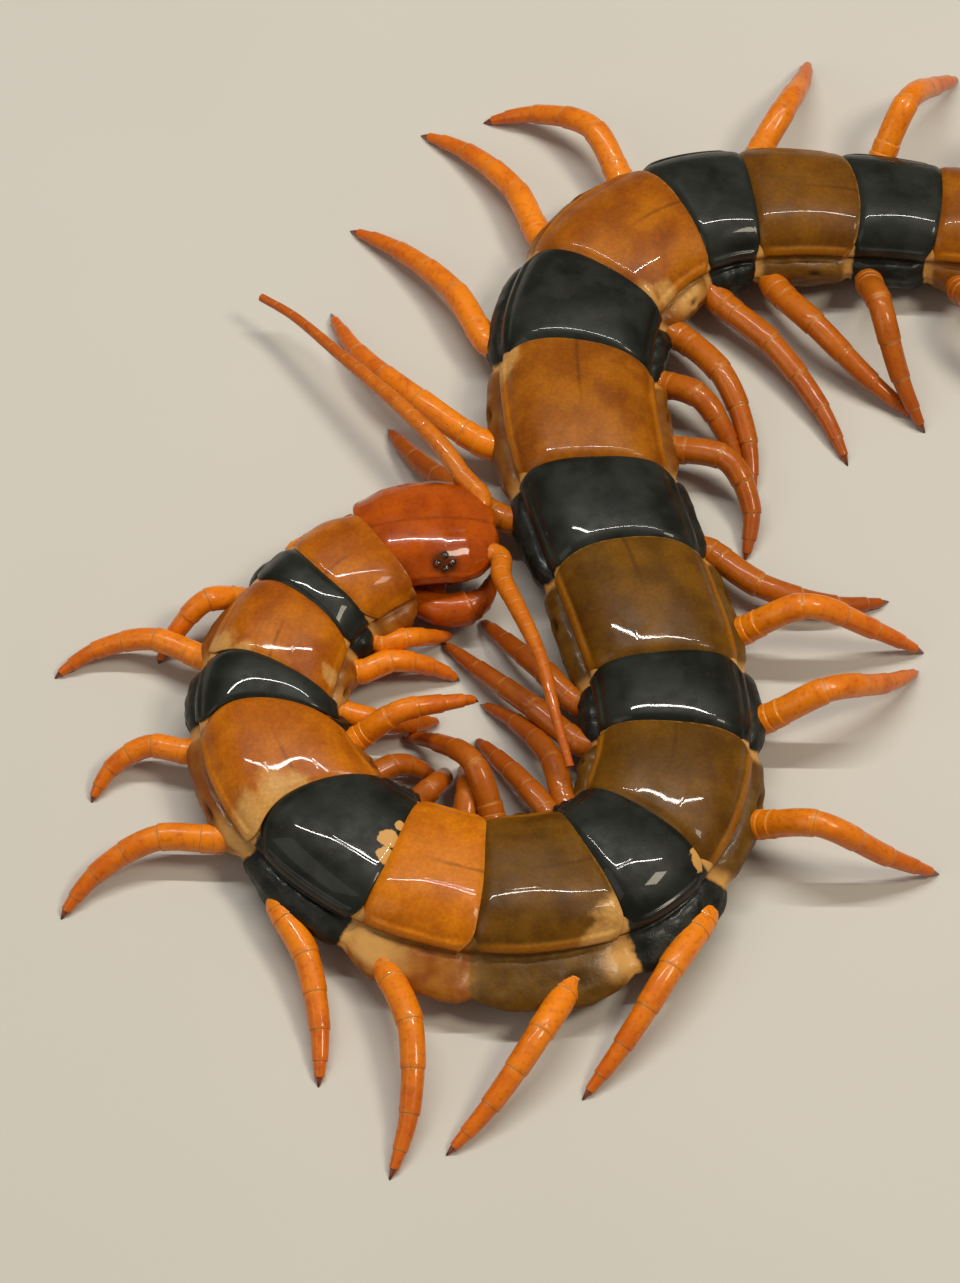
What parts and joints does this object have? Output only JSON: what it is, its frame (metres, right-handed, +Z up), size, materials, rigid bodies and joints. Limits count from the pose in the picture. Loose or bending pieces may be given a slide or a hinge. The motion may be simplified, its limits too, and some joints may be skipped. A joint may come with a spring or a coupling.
{
  "type": "giant tiger centipede",
  "caption": "Life-size giant centipede curled in a loop on the floor, with banded orange and black back plates, red head, long feelers and splayed legs.",
  "frame": {"origin": "on the floor, at the middle of the footprint of the whole animal", "axes": "+Z up from the floor; +X along the tail end, which trails that way; +Y from the loop of the front body toward the bend of the hind body"},
  "size_m": [0.1268, 0.1298, 0.0093],
  "materials": {
    "trunk_cuticle": "glossy cuticle, banded amber orange and blue black",
    "head_cuticle": "high gloss red orange cuticle",
    "leg_cuticle": "glossy orange cuticle with darker joint lines",
    "ocelli": "wet black"
  },
  "bodies": {
    "root": {"head": "head_cuticle", "antenna_left": "leg_cuticle", "antenna_right": "leg_cuticle", "forcipule_left": "head_cuticle", "forcipule_right": "head_cuticle", "ocelli_left": "ocelli", "ocelli_right": "ocelli", "trunk_01": "trunk_cuticle", "trunk_02_03": "trunk_cuticle", "trunk_04_05": "trunk_cuticle", "trunk_06_07": "trunk_cuticle", "trunk_08_09": "trunk_cuticle", "trunk_10_11": "trunk_cuticle", "trunk_12_13": "trunk_cuticle", "trunk_14_15": "trunk_cuticle", "trunk_16_17": "trunk_cuticle", "trunk_18_19": "trunk_cuticle", "trunk_20_21": "trunk_cuticle", "leg_01_left": "leg_cuticle", "leg_02_left": "leg_cuticle", "leg_03_left": "leg_cuticle", "leg_04_left": "leg_cuticle", "leg_05_left": "leg_cuticle", "leg_06_left": "leg_cuticle", "leg_07_left": "leg_cuticle", "leg_08_left": "leg_cuticle", "leg_09_left": "leg_cuticle", "leg_10_left": "leg_cuticle", "leg_11_left": "leg_cuticle", "leg_12_left": "leg_cuticle", "leg_13_left": "leg_cuticle", "leg_14_left": "leg_cuticle", "leg_15_left": "leg_cuticle", "leg_16_left": "leg_cuticle", "leg_17_left": "leg_cuticle", "leg_18_left": "leg_cuticle", "leg_19_left": "leg_cuticle", "leg_20_left": "leg_cuticle", "leg_21_left": "leg_cuticle", "leg_01_right": "leg_cuticle", "leg_02_right": "leg_cuticle", "leg_03_right": "leg_cuticle", "leg_04_right": "leg_cuticle", "leg_05_right": "leg_cuticle", "leg_06_right": "leg_cuticle", "leg_07_right": "leg_cuticle", "leg_08_right": "leg_cuticle", "leg_09_right": "leg_cuticle", "leg_10_right": "leg_cuticle", "leg_11_right": "leg_cuticle", "leg_12_right": "leg_cuticle", "leg_13_right": "leg_cuticle", "leg_14_right": "leg_cuticle", "leg_15_right": "leg_cuticle", "leg_16_right": "leg_cuticle", "leg_17_right": "leg_cuticle", "leg_18_right": "leg_cuticle", "leg_19_right": "leg_cuticle", "leg_20_right": "leg_cuticle", "leg_21_right": "leg_cuticle"}
  },
  "joints": []
}
